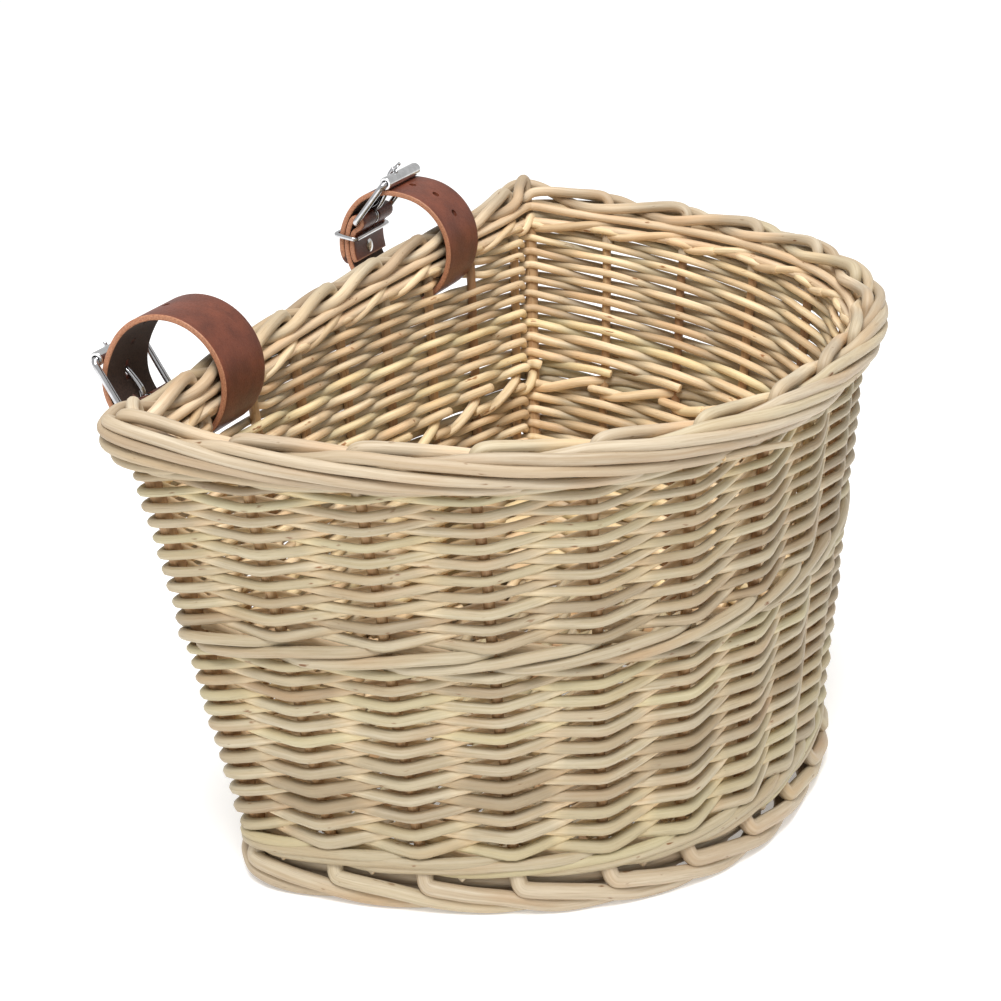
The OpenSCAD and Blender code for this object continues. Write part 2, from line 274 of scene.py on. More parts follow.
def distance_along(path):
    return np.r_[0, np.cumsum(np.linalg.norm(np.diff(path, axis=0), axis=1))]


def put_attribute(mesh, name, values):
    """Stores a row of three numbers per point, for the materials to read."""
    attribute = mesh.attributes.new(name, "FLOAT_VECTOR", "POINT")
    attribute.data.foreach_set("vector", np.asarray(values, np.float32).ravel())


def transport(path):
    """Tangent and two side directions along a path, turning as little as they can (double reflection)."""
    tangent = np.gradient(path, axis=0)
    tangent /= np.linalg.norm(tangent, axis=1)[:, None]
    first = np.cross(tangent[0], (0.0, 0.0, 1.0))
    if np.linalg.norm(first) < 0.2:
        first = np.cross(tangent[0], (1.0, 0.0, 0.0))
    first -= tangent[0] * (first @ tangent[0])
    side = np.empty_like(path)
    side[0] = first / np.linalg.norm(first)
    for i in range(len(path) - 1):
        v = path[i + 1] - path[i]
        c = v @ v
        r = side[i] - 2 / c * (v @ side[i]) * v
        t = tangent[i] - 2 / c * (v @ tangent[i]) * v
        w = tangent[i + 1] - t
        c = w @ w
        side[i + 1] = r if c < 1e-12 else r - 2 / c * (w @ r) * w
    return tangent, side, np.cross(tangent, side)


class Rods:
    """Collects closed round rods into one mesh, with where each point lies in its own rod.

    grain is a point's place in the rod and rod its two random numbers and whether it is a cut end;
    inner is 1 where the rod lies on the inside of the basket, where the willow material paints in brighter,
    warmer light.
    """

    # a cut end: how far its chamfer and its crown stand out and how wide the chamfer is, in radii
    CHAMFER, CROWN, CUT_WIDTH = 0.10, 0.05, 0.86

    def __init__(self, seed):
        self.rng = np.random.default_rng(seed)
        self.verts, self.quads, self.tris = [], [], []
        self.grain, self.rod, self.inner = [], [], []
        self.count = 0

    def add(self, path, radius, sides=10, closed=False, inner=0.0):
        """A rod along a path, either closed on itself or with two cut ends."""
        path = np.asarray(path, float)
        n = len(path)
        radius = np.broadcast_to(radius, (n,)).astype(float)
        if closed:
            ring_path = np.vstack([path[-1:], path, path[:1]])
            tangent, a, b = (part[1:-1] for part in transport(ring_path))
        else:
            tangent, a, b = transport(path)
        angle = np.arange(sides) * 2 * math.pi / sides
        cos, sin = np.cos(angle), np.sin(angle)
        ring = cos[None, :, None] * a[:, None, :] + sin[None, :, None] * b[:, None, :]
        verts = (path[:, None, :] + ring * radius[:, None, None]).reshape(-1, 3)
        s = distance_along(path)
        shift = self.rng.uniform(0, 3000)
        pair = self.rng.uniform(size=2)
        grain = np.stack([
            radius[:, None] * cos[None, :], radius[:, None] * sin[None, :],
            np.repeat(s[:, None], sides, 1) + shift], -1).reshape(-1, 3)
        rod = np.tile(np.r_[pair, 0.0], (len(verts), 1))
        quads = tube_quads(n, sides, closed)
        tris = np.zeros((0, 3), int)
        if not closed:
            extra_v, extra_g, extra_t, extra_q = [], [], [], []
            for end, way in ((0, -1), (n - 1, 1)):
                start = len(verts) + sum(len(v) for v in extra_v)
                cut = path[end] + tangent[end] * way * self.CHAMFER * radius[end]
                extra_v.append(cut + ring[end] * radius[end] * self.CUT_WIDTH)
                extra_v.append(cut[None] + tangent[end][None] * way * self.CROWN * radius[end])
                g = grain.reshape(n, sides, 3)[end]
                extra_g += [g * (self.CUT_WIDTH, self.CUT_WIDTH, 1), np.array([[0, 0, s[end] + shift]])]
                k = np.arange(sides)
                here, there = (k, np.roll(k, -1))[::way]
                edge, rim = end * sides, start
                extra_q.append(np.stack([edge + here, edge + there, rim + there, rim + here], -1))
                extra_t.append(np.stack([rim + here, rim + there, np.full(sides, rim + sides)], -1))
            added = np.concatenate(extra_v)
            verts = np.concatenate([verts, added])
            grain = np.concatenate([grain] + extra_g)
            rod = np.concatenate([rod, np.tile(np.r_[pair, 1.0], (len(added), 1))])
            quads = np.concatenate([quads] + extra_q)
            tris = np.concatenate(extra_t)
        side_of_wall = np.zeros((len(verts), 3))
        side_of_wall[:n * sides, 0] = np.repeat(np.broadcast_to(inner, (n,)), sides)
        self.put(verts, grain, rod, side_of_wall, quads, tris)

    def add_plain(self, verts, grain, quads, tris):
        """A turned shape, the same all through: no cut ends, no inside."""
        rod = np.tile([0.5, 0.5, 0.0], (len(verts), 1))
        self.put(verts, grain, rod, np.zeros((len(verts), 3)), quads, tris)

    def put(self, verts, grain, rod, inner, quads, tris):
        self.verts.append(verts)
        self.grain.append(grain)
        self.rod.append(rod)
        self.inner.append(inner)
        self.quads.append(quads + self.count)
        self.tris.append(tris + self.count)
        self.count += len(verts)

    def piece(self, name, material, node, slot, body="basket"):
        """Makes the object that stands for a CAD node and moves with a body."""
        verts, quads, tris = (np.concatenate(rows) for rows in (self.verts, self.quads, self.tris))
        mesh = fill_mesh(name, verts, quads, tris)
        put_attribute(mesh, "grain", np.concatenate(self.grain))
        put_attribute(mesh, "rod", np.concatenate(self.rod))
        put_attribute(mesh, "inner", np.concatenate(self.inner))
        mesh.materials.append(material)
        obj = new_object(name, mesh)
        stand_for(obj, node, body)
        return obj


def new_object(name, data):
    obj = bpy.data.objects.new(name, data)
    scene.collection.objects.link(obj)
    return obj


def stand_for(obj, node, body):
    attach(obj, body)
    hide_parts(node)


# ---- materials ----

class Graph:
    """A material and short names for the shader nodes it is made of."""

    def __init__(self, name):
        self.material = bpy.data.materials.new(name)
        self.material.use_nodes = True
        self.tree = self.material.node_tree
        self.tree.nodes.clear()
        self.out = self.tree.nodes.new("ShaderNodeOutputMaterial")

    def put(self, socket, value):
        if isinstance(value, bpy.types.NodeSocket):
            self.tree.links.new(value, socket)
        else:
            socket.default_value = value

    def node(self, kind, inputs=None, **props):
        n = self.tree.nodes.new("ShaderNode" + kind)
        for key, value in props.items():
            setattr(n, key, value)
        for key, value in (inputs or {}).items():
            self.put(n.inputs[key], value)
        return n

    def attribute(self, name):
        return self.node("Attribute", attribute_name=name).outputs["Vector"]

    def parts(self, name):
        return self.node("SeparateXYZ", {0: self.attribute(name)}).outputs

    def math(self, operation, a, b):
        return self.node("Math", {0: a, 1: b}, operation=operation).outputs[0]

    def times(self, a, b):
        return self.math("MULTIPLY", a, b)

    def plus(self, a, b):
        return self.math("ADD", a, b)

    def scaled(self, vector, by):
        return self.node("VectorMath", {0: vector, 1: by}, operation="MULTIPLY").outputs[0]

    def noise(self, vector, scale, detail=3.0, rough=0.55):
        inputs = {"Vector": vector, "Scale": scale, "Detail": detail, "Roughness": rough}
        return self.node("TexNoise", inputs).outputs["Fac"]

    def span(self, value, a0, a1, b0=0.0, b1=1.0):
        inputs = {0: value, 1: a0, 2: a1, 3: b0, 4: b1}
        return self.node("MapRange", inputs, clamp=True).outputs[0]

    def mix(self, factor, a, b, blend="MIX"):
        n = self.node("Mix", data_type="RGBA", blend_type=blend)
        self.put(n.inputs[0], factor)
        self.put(n.inputs[6], a)
        self.put(n.inputs[7], b)
        return n.outputs[2]

    def finish(self, color, roughness, height, bump_mm, bump_strength, **extra):
        inputs = {"Base Color": color, "Roughness": roughness}
        inputs.update(extra)
        shader = self.node("BsdfPrincipled")
        for key, value in inputs.items():
            self.put(shader.inputs[key.replace("_", " ")], value)
        bump = self.node("Bump", {"Height": height, "Distance": bump_mm * MM, "Strength": bump_strength})
        self.put(shader.inputs["Normal"], bump.outputs[0])
        self.tree.links.new(shader.outputs[0], self.out.inputs[0])
        return self.material


def rgb(r, g, b):
    """An sRGB colour of 0 to 255 as linear RGBA."""
    def line(v):
        v /= 255
        return v / 12.92 if v <= 0.04045 else ((v + 0.055) / 1.055) ** 2.4
    return (line(r), line(g), line(b), 1.0)


# painted light: the inside of the basket is coloured brighter and warmer, standing in for the light that
# falls and bounces inside it
INSIDE_PAINTED_LIGHT = (2.08, 1.92, 1.78, 1.0)
INSIDE_PAINTED_LIGHT_SHARE = 0.8
GREEN, BARK = rgb(196, 190, 142), rgb(120, 82, 48)
CUT_PALE, CUT_DARK = rgb(236, 214, 172), rgb(196, 156, 108)


def willow(name, pale, mid, dark, stain, green=0.3):
    """Peeled willow: streaks along each rod, a tint of its own for each rod, stains, buds and cut ends, and
    painted brighter, warmer light on the inside of the basket.
    """
    g = Graph(name)
    grain = g.attribute("grain")
    one, two, cut = g.parts("rod")
    streak = g.noise(g.scaled(grain, (1.0, 1.0, 0.03)), 0.9, 4.0, 0.6)
    slow = g.noise(g.scaled(grain, (0.12, 0.12, 0.02)), 1.0, 3.0, 0.5)
    fine = g.noise(g.scaled(grain, (3.2, 3.2, 0.10)), 1.0, 3.0, 0.6)
    color = g.mix(g.span(streak, 0.30, 0.68), mid, pale)
    color = g.mix(g.times(g.span(slow, 0.48, 0.75), 0.75), color, stain)
    color = g.mix(g.times(g.span(one, 0.55, 1.0), 0.55), color, mid)
    color = g.mix(g.times(g.span(two, 0.72, 1.0), 0.45), color, dark)
    color = g.mix(g.times(g.span(two, 0.3, 0.0), green), color, GREEN)
    lines = g.span(fine, 0.56, 0.72)
    color = g.mix(g.times(lines, 0.32), color, dark)
    # bark left at buds: small brown marks, longer along the rod
    spots = g.noise(g.scaled(grain, (0.55, 0.55, 0.16)), 1.0, 2.0, 0.45)
    color = g.mix(g.span(spots, 0.70, 0.77), color, BARK)
    ring = g.noise(g.scaled(grain, (1.5, 1.5, 0.2)), 1.2, 2.0)
    color = g.mix(cut, color, g.mix(g.span(ring, 0.4, 0.65), CUT_PALE, CUT_DARK))
    # painted light: rods on the inside are multiplied up to a brighter, warmer colour in place of the light
    # that falls and bounces there
    inner = g.parts("inner")[0]
    painted_inside_light = g.mix(1.0, color, INSIDE_PAINTED_LIGHT, "MULTIPLY")
    color = g.mix(g.times(inner, INSIDE_PAINTED_LIGHT_SHARE), color, painted_inside_light)
    rough = g.span(streak, 0.3, 0.7, 0.40, 0.60)
    height = g.plus(g.times(fine, 0.7), g.times(streak, 1.1))
    height = g.math("SUBTRACT", height, g.times(g.span(spots, 0.66, 0.74), 0.5))
    return g.finish(color, rough, height, 0.22, 0.6, Specular_IOR_Level=0.42)


def leather():
    """Brown leather: pored outer face, matt flesh side, pale cut edges."""
    g = Graph("leather")
    skin = g.attribute("skin")
    face, edge = g.parts("layer")[:2]
    pores = g.node("TexVoronoi", {"Vector": skin, "Scale": 1.9}, feature="F1").outputs["Distance"]
    cloud = g.noise(skin, 0.11, 4.0, 0.6)
    fine = g.noise(skin, 1.4, 4.0, 0.6)
    outer = g.mix(g.span(cloud, 0.32, 0.68), rgb(88, 42, 25), rgb(118, 60, 38))
    outer = g.mix(g.times(g.span(fine, 0.5, 0.72), 0.35), outer, rgb(70, 32, 22))
    inner = g.mix(g.span(fine, 0.35, 0.7), rgb(58, 44, 38), rgb(84, 66, 56))
    cut = g.mix(g.span(fine, 0.35, 0.65), rgb(150, 98, 72), rgb(184, 132, 100))
    color = g.mix(g.span(face, -0.55, 0.1), inner, outer)
    color = g.mix(g.span(edge, 0.25, 0.8), color, cut)
    scratch = g.noise(g.scaled(skin, (0.5, 0.03, 0.5)), 1.6, 3.0, 0.6)
    color = g.mix(g.times(g.span(scratch, 0.66, 0.8), 0.25), color, rgb(170, 110, 86))
    rough = g.span(face, -0.4, 0.2, 0.85, 0.44)
    rough = g.plus(rough, g.span(fine, 0.3, 0.7, -0.05, 0.08))
    height = g.plus(g.times(pores, 0.5), g.times(fine, 0.7))
    return g.finish(color, rough, height, 0.10, 0.55, Specular_IOR_Level=0.40)


def steel(name, tint, rough0, rough1):
    """Plated steel with smudges that dull it; roughness runs from rough0 to rough1."""
    g = Graph(name)
    grain = g.attribute("grain")
    smudge = g.noise(grain, 0.35, 4.0, 0.6)
    fine = g.noise(g.scaled(grain, (2.0, 2.0, 0.4)), 2.0, 3.0, 0.6)
    color = g.mix(g.span(smudge, 0.35, 0.7), tint, tuple(0.78 * c for c in tint[:3]) + (1,))
    rough = g.plus(g.span(smudge, 0.35, 0.7, rough0, rough1), g.span(fine, 0.5, 0.8, 0.0, 0.06))
    return g.finish(color, rough, fine, 0.02, 0.35, Metallic=1.0)


weave_willow = willow(
    "weave_willow", rgb(190, 178, 153), rgb(164, 148, 118), rgb(110, 83, 56), rgb(172, 142, 106))
rod_willow = willow(
    "rod_willow", rgb(196, 166, 124), rgb(166, 126, 88), rgb(112, 76, 48), rgb(170, 126, 84))
border_willow = willow(
    "border_willow", rgb(199, 185, 161), rgb(172, 152, 124), rgb(120, 91, 63), rgb(180, 147, 110), 0.2)
strap_leather = leather()
frame_steel = steel("frame_steel", (0.60, 0.60, 0.61, 1), 0.10, 0.24)
roller_steel = steel("roller_steel", (0.70, 0.70, 0.70, 1), 0.08, 0.20)
rivet_steel = steel("rivet_steel", (0.80, 0.79, 0.76, 1), 0.12, 0.24)


# ---- siding: one weaver from each stake, in front of one and behind one, climbing to the right ----

PER_STAKE = 13
STAKE_STEP = ROUND_MM / STAKES
# how far a weaver dips in front of a stake, as a share of the spacing of the rows
SAG_SHARE = 0.27
# a weaver starts tucked in behind the stake before its own and stops just short of its last stake
TUCKED_AT, STOP_SHORT = -1.14, 0.80
TUCK_DEPTH, TUCK_LENGTH, TUCK_RISE = 1.3, 0.22, 0.45
# how close the weavers lie against the stakes, in their own radii, and how uneven they are, in millimetres
WEAVER_GRIP = 0.82
UNEVEN_Z, UNEVEN_OFF, UNEVEN_THICK = 0.16, 0.2, 0.025
# a rod counts as inside the basket once it lies behind the stakes' middle line
INSIDE_FROM, INSIDE_FADE = 1.0, 3.0


def inside_share(off):
    return smooth((INSIDE_FROM - off) / INSIDE_FADE)


def zigzag(t):
    """1 at even stakes and -1 at odd ones, nearly straight between them."""
    parts = sum(np.cos(n * np.pi * t) / n ** 2 for n in (1, 3, 5, 7))
    return parts / sum(1 / n ** 2 for n in (1, 3, 5, 7))


def siding(node, seed, z0, rows, pitch, size):
    """One band. pitch is the climb over two stakes, size the rod's thickness, each from butt to tip."""
    rods = Rods(seed)
    rng = rods.rng
    for i in range(STAKES):
        t = np.arange(TUCKED_AT, 2 * rows - STOP_SHORT, 1 / PER_STAKE)
        s = t * STAKE_STEP
        wave = zigzag(t)
        k = t / 2
        rise = pitch[0] * k + (pitch[1] - pitch[0]) * k * k / (2 * rows)
        rise = np.where(t < 0, rise * TUCK_RISE, rise)
        sag = SAG_SHARE * np.interp(t, [0, 2 * rows], pitch)
        z = z0 + rise - sag * wave + wobble(rng, s, UNEVEN_Z)
        thick = np.interp(t, [0, 2 * rows], size) / 2 * rng.uniform(0.92, 1.08)
        thick = thick * (1 + wobble(rng, s * 3, UNEVEN_THICK))
        off = wave * (stake_radius(i + t) + thick * WEAVER_GRIP) + wobble(rng, s, UNEVEN_OFF)
        off -= TUCK_DEPTH * np.exp(-((t - TUCKED_AT) / TUCK_LENGTH) ** 2)
        path = clear_straps(on_wall(at_stake(i + t), z, off), thick)
        rods.add(soften(path, 0.6), thick, sides=9, inner=inside_share(off))
    rods.piece(node + "_weavers", weave_willow, node, "willow_weave")


siding("lower_siding", 11, BOTTOM_WALE_TOP + 2.0, rows=12, pitch=(6.95, 5.1), size=(4.5, 3.2))
siding("upper_siding", 12, MID_WALE_TOP + 2.6, rows=10, pitch=(6.0, 5.2), size=(3.5, 2.7))


# ---- wales: rods in front of all but one stake in each turn of the pattern, laid like a rope ----

# how far the lengths of a rod overlap, in stakes, how quickly a rod changes sides, and how close it lies
OVERLAP = 0.9
SIDE_CHANGE = 4.16
WALE_GRIP = 0.9


def wale(node, seed, z_low, z_high, rods_in, size, reach, pieces=6):
    """A band of rods_in rods, cut into pieces that overlap behind a stake; reach is the gap to the stakes."""
    rods = Rods(seed)
    rng = rods.rng
    front = (rods_in - 1) / rods_in
    rounds = rods_in // math.gcd(rods_in, STAKES % rods_in or rods_in)
    loops = rods_in // rounds
    for loop in range(loops):
        cuts = np.linspace(0, STAKES * rounds, pieces // loops + 1)
        cuts = np.round(cuts / rods_in) * rods_in - 0.5 * (1 - front) * rods_in
        for a, b in zip(cuts[:-1], cuts[1:]):
            m = np.arange(a, b + OVERLAP, 1 / PER_STAKE)
            s = m * STAKE_STEP
            phase = np.mod(m / rods_in + loop / rods_in, 1)
            height = np.where(
                phase < front,
                -np.cos(np.pi * phase / front),
                np.cos(np.pi * (phase - front) / (1 - front)))
            lean = np.cos(2 * np.pi * (phase - front / 2))
            edge = math.cos(math.pi * front)
            side = np.tanh(SIDE_CHANGE * (lean - edge) / (1 - edge))
            thick = size / 2 * np.linspace(1.06, 0.90, len(m)) * rng.uniform(0.95, 1.05)
            z = (z_low + z_high) / 2 + height * ((z_high - z_low) / 2 - thick) + wobble(rng, s, 0.15)
            off = side * (stake_radius(m) + thick * WALE_GRIP + reach) + wobble(rng, s, 0.15)
            path = clear_straps(on_wall(at_stake(m), z, off), thick)
            rods.add(soften(path, 1.2), thick, sides=10, inner=inside_share(off))
    rods.piece(node + "_rods", weave_willow, node, "willow_weave")


wale("bottom_wale", 21, FOOT_TOP + 0.6, BOTTOM_WALE_TOP - 0.6, rods_in=4, size=3.9, reach=0.3, pieces=8)
wale("mid_wale", 22, LOWER_TOP - 0.4, MID_WALE_TOP + 0.4, rods_in=3, size=3.9, reach=0.1)
wale("top_wale", 23, UPPER_TOP + 5.0, RIM_LOW + 6.0, rods_in=3, size=3.3, reach=0.0)


# ---- stakes and corner posts ----

POST_SET_IN = 0.6


def uprights():
    stakes, posts = Rods(31), Rods(32)
    for m in range(STAKES):
        rods = posts if m in CORNERS else stakes
        z = np.linspace(STAKE_LOW + 0.3, RIM_LOW + 4, 48)
        size = stake_size[m] * np.linspace(1.03, 0.95, len(z))
        off = wobble(rods.rng, z, 0.12) - (POST_SET_IN if m in CORNERS else 0.0)
        side = wobble(rods.rng, z, 0.35) / SAMPLE_MM
        rods.add(on_wall(stake_u[m] + side, z, off), size, sides=12)
    stakes.piece("side_stake_rods", rod_willow, "side_stakes", "willow_rod")
    posts.piece("corner_post_rods", rod_willow, "corner_posts", "willow_rod")


uprights()


# ---- borders: each stake's end bends over to the right and works its way out and down ----

def curve_through(points, per=7):
    """Catmull-Rom curve through rows of numbers."""
    p = np.asarray(points, float)
    p = np.vstack([2 * p[0] - p[1], p, 2 * p[-1] - p[-2]])
    out = []
    for i in range(1, len(p) - 2):
        f = np.linspace(0, 1, per, endpoint=False)[:, None]
        a, b, c, d = p[i - 1:i + 3]
        square, cube = 2 * a - 5 * b + 4 * c - d, 3 * b - a - 3 * c + d
        out.append(0.5 * (2 * b + (c - a) * f + square * f ** 2 + cube * f ** 3))
    out.append(p[-2:-1])
    return np.vstack(out)


# how far the border reaches out and in from the wall, more where it turns a corner
FRONT_OVERHANG, BACK_OVERHANG, INSIDE = 10.5, 8.0, 4.5
CORNER_BULGE = 4.0
OVERHANG_REACH = 40.0
CORNER_LIFT, CORNER_REACH = 4.0, 18.0
# stakes travelled, then place in the border's section: -1 inside to 1 outside, and -1 bottom to 1 top
RIM_COURSE = [
    (0.00, -0.10, -2.10), (0.00, -0.10, -0.90), (0.01, -0.10, 0.10), (0.03, -0.11, 0.72), (0.12, -0.16, 0.98),
    (0.32, -0.32, 0.92), (0.65, -0.62, 0.68), (0.95, -0.86, 0.42), (1.22, -0.66, 0.20), (1.50, -0.10, 0.18),
    (1.75, 0.34, 0.42), (2.00, 0.58, 0.66), (2.50, 0.80, 0.50), (3.00, 0.94, 0.20), (3.50, 1.00, -0.08),
    (4.00, 0.97, -0.36), (4.50, 0.84, -0.62), (5.00, 0.62, -0.86), (5.45, 0.22, -1.02), (5.85, -0.30, -1.00),
    (6.20, -0.60, -0.86),
]
RIM_THICK = (4.3, 3.1)
# rods laid round inside the border, under the turned-down stakes: place in the section, radius
RIM_CORE = [(0.10, -0.35, 2.3), (-0.80, -0.20, 1.7), (-0.82, -0.90, 1.8)]


def section_place(u, x, z, r):
    """Distance out and height of places in the border's section, for a rod of radius r."""
    here = on_wall(u, FULL_H, 0.0)
    front = np.mod(u, WALL_SAMPLES) < FRONT_U
    share = np.where(front, smooth((CORNER_Y - here[:, 1]) / OVERHANG_REACH), 0.0)
    corner = np.hypot(np.abs(here[:, 0]) - RIM_PLAN[0], here[:, 1] - CORNER_Y)
    near = np.exp(-(corner / CORNER_REACH) ** 2)
    out = BACK_OVERHANG + (FRONT_OVERHANG - BACK_OVERHANG) * share + CORNER_BULGE * near
    centre, half = (out - INSIDE) / 2, (out + INSIDE) / 2
    mid_z, half_z = (RIM_LOW + FULL_H) / 2, (FULL_H - RIM_LOW) / 2
    height = mid_z + z * (half_z - r)
    off = centre + x * (half - r)
    return off, height + CORNER_LIFT * near * (1 + np.clip(z, -1, 1)) / 2


# where the one loose tip starts: stake, height, distance out
LOOSE_TIP_STAKE, LOOSE_TIP_Z, LOOSE_TIP_OFF = 5.2, 156.5, 6.5


def rim_border():
    rods = Rods(41)
    rng = rods.rng
    for x, z, r in RIM_CORE:
        u = np.linspace(0, WALL_SAMPLES, 900, endpoint=False)
        off, height = section_place(u, x, z, r)
        rods.add(clear_straps(on_wall(u, height, off), r), r, sides=10, closed=True, inner=0.6)
    course = curve_through(RIM_COURSE)
    for m in range(STAKES):
        far = rng.uniform(0.95, 1.06)
        t = course[:, 0] * np.where(course[:, 0] > 2, far, 1)
        thick = np.interp(course[:, 0], [0, RIM_COURSE[-1][0]], RIM_THICK) / 2 * rng.uniform(0.94, 1.06)
        u = at_stake(m + t)
        s = t * STAKE_STEP
        settle = smooth(t / 0.5)
        x = course[:, 1] + wobble(rng, s, 0.04) * settle
        z = course[:, 2] + wobble(rng, s, 0.04) * settle
        off, z = section_place(u, x, z, thick)
        off = np.where(t < 0.1, off * smooth((z - RIM_LOW + 1) / 10), off)
        path = clear_straps(on_wall(u, z, off), thick)
        rods.add(soften(path, 1.4), thick, sides=12, inner=0.5 * inside_share(off) * (t > 0.1))
    # one tip that was never tucked in, pointing right under the border
    t = np.linspace(0, 1, 24)
    u = at_stake(LOOSE_TIP_STAKE + 0.8 * t)
    loose = on_wall(u, LOOSE_TIP_Z - 3.0 * t ** 2, LOOSE_TIP_OFF + 3.2 * t)
    rods.add(loose, np.linspace(1.5, 0.9, 24), sides=9)
    rods.piece("rim_border_rods", border_willow, "rim_border", "willow_border")


rim_border()

# stakes travelled, distance out from the middle of the wall, height
FOOT_COURSE = [
    (-0.03, 0.4, 22.0), (-0.03, 1.4, 15.5), (-0.02, 3.2, 12.0), (0.00, 4.7, 9.9), (0.07, 5.4, 8.9),
    (0.40, 5.7, 7.7), (0.75, 5.8, 6.1), (1.00, 5.8, 4.5), (1.28, 5.6, 3.2), (1.60, 5.1, 2.75),
    (1.88, 4.0, 2.7), (2.14, 2.0, 2.7), (2.45, -1.2, 2.7), (2.90, -4.8, 3.3), (3.35, -6.2, 5.6),
    (3.80, -6.0, 8.4), (4.20, -4.6, 10.4),
]
FOOT_THICK = (5.5, 4.1)
# hidden rings that fill the foot behind the plaited rods: distance out, height, radius
FOOT_CORE = [(-1.2, 9.6, 2.7), (-5.0, 11.2, 2.3), (-3.2, 5.6, 2.2)]
GROUND_GAP = 0.02
FOOT_SHIFT = 0.04
# the share of stakes with a trimmed end beside them
STUB_SHARE, STUB_R = 0.6, 1.5


def foot_border():
    rods = Rods(42)
    rng = rods.rng
    course = curve_through(FOOT_COURSE)
    for m in range(STAKES):
        t, off, z = course.T
        thick = np.interp(t, [0, FOOT_COURSE[-1][0]], FOOT_THICK) / 2 * rng.uniform(0.95, 1.05)
        s = t * STAKE_STEP
        settle = smooth(t / 0.5)
        off = off + wobble(rng, s, 0.3) * settle
        z = np.maximum(z + wobble(rng, s, 0.25) * settle, thick + GROUND_GAP)
        path = soften(on_wall(at_stake(m + FOOT_SHIFT + t), z, off), 0.7)
        path[:, 2] = np.maximum(path[:, 2], thick + GROUND_GAP)
        rods.add(path, thick, sides=12)
        # trimmed end of a stake, beside the bend
        if rng.uniform() < STUB_SHARE:
            u = at_stake(m + rng.uniform(0.32, 0.5))
            z0 = np.linspace(15.0, 12.2, 6)
            stub = on_wall(u + np.linspace(0, 3.5, 6) / SAMPLE_MM, z0, np.linspace(1.6, 3.2, 6))
            rods.add(stub, STUB_R, sides=10)
    for off, z, r in FOOT_CORE:
        u = np.linspace(0, WALL_SAMPLES, 420, endpoint=False)
        rods.add(on_wall(u, z, off), r, sides=10, closed=True)
    rods.piece("foot_border_rods", border_willow, "foot_border", "willow_border")


foot_border()


# ---- floor: sticks from front to back, rows woven across them ----

FLOOR_STICKS = 7
FLOOR_GAP = 5.2
STICK_R, ROW_R = 2.5, 1.85
ROW_PITCH = 3.75
ROW_WAVE = 2.05


def floor():
    sticks, rows = Rods(51), Rods(52)
    mid_z = (FLOOR_LOW + FLOOR_TOP) / 2
    edge = on_wall(np.arange(WALL_SAMPLES), mid_z, -FLOOR_GAP)[:, :2]

    def crossing(axis, value):
        """Where a line across the floor meets its edge."""
        a, b = edge, np.roll(edge, -1, 0)
        hit = (a[:, axis] - value) * (b[:, axis] - value) < 0
        f = (value - a[hit, axis]) / (b[hit, axis] - a[hit, axis])
        other = a[hit, 1 - axis] + f * (b[hit, 1 - axis] - a[hit, 1 - axis])
        return other.min(), other.max()

    x_low, x_high = span("base_sticks", 0)
    stick_x = np.linspace(x_low + STICK_R, x_high - STICK_R, FLOOR_STICKS)
    pitch = stick_x[1] - stick_x[0]
    for x in stick_x:
        y0, y1 = crossing(0, x)
        y = np.linspace(y0 + 1.5, y1 - 1.5, 40)
        path = np.column_stack([x + wobble(sticks.rng, y, 0.4), y, np.full(40, mid_z)])
        sticks.add(path, np.linspace(STICK_R, 0.92 * STICK_R, 40), sides=12)
    y_low, y_high = edge[:, 1].min() + 2.2, edge[:, 1].max() - 2.0
    count = int((y_high - y_low) / ROW_PITCH)
    for row, y in enumerate(np.linspace(y_low, y_high, count)):
        x0, x1 = crossing(1, y)
        n = max(12, int((x1 - x0) / 2.6))
        x = np.linspace(x0, x1, n)
        wave = np.cos(np.pi * (x - stick_x[0]) / pitch + np.pi * (row % 2))
        z = mid_z + ROW_WAVE * wave + wobble(rows.rng, x, 0.08)
        path = np.column_stack([x, y + wobble(rows.rng, x, 0.22), z])
        rows.add(path, ROW_R * rows.rng.uniform(0.93, 1.06), sides=9)
    sticks.piece("base_stick_rods", rod_willow, "base_sticks", "willow_rod")
    rows.piece("base_weave_rods", weave_willow, "base_weave", "willow_weave")


floor()


# ---- straps and buckles: drawn round the loop's centre, [towards the handlebar, up] ----

LOOP_R = 20.5
STRAP_T = 2.0
LAYER_GAP = 0.2
# middle of the single layer, of the tip that lies on it, and of the folded end inside it
LAYER_MID = LOOP_R + STRAP_T / 2
TIP_MID = LAYER_MID + STRAP_T + LAYER_GAP
INNER_MID = LAYER_MID - STRAP_T - LAYER_GAP
WIRE_R, FRAME_HALF, ROLLER_R = 1.2, 15.3, 2.5
BAR_PLAY = 0.12
# degrees round the loop, from the direction of the handlebar
TIP_END, KEEPER_AT, RIVET_AT = -22.0, 8.5, -10.0
HOLES_AT, HOLE_R = (39.0, 92.0, 118.0, 144.0), 1.45
# width and radius of the slot that the fold has for the prong
PRONG_SLOT, PRONG_SLOT_R = 3.2, 3.62
EDGE_SOFT = 0.55
# the tip is rounded over this length, narrower and thinner by these shares; the tail a little over its own
TIP_LENGTH, TAIL_LENGTH = 7.0, 2.0
TIP_NARROW, TIP_THIN, TAIL_NARROW = 0.30, 0.35, 0.04
# how far each strap is turned round its loop
TURN = {"left": -70.0, "right": 0.0}


def polar(r, degrees):
    a = np.radians(degrees)
    return np.stack([r * np.cos(a), r * np.sin(a)], -1)


def turned_by(q, degrees):
    a = math.radians(degrees)
    y, z = q[..., 0], q[..., 1]
    return np.stack([y * math.cos(a) - z * math.sin(a), y * math.sin(a) + z * math.cos(a)], -1)


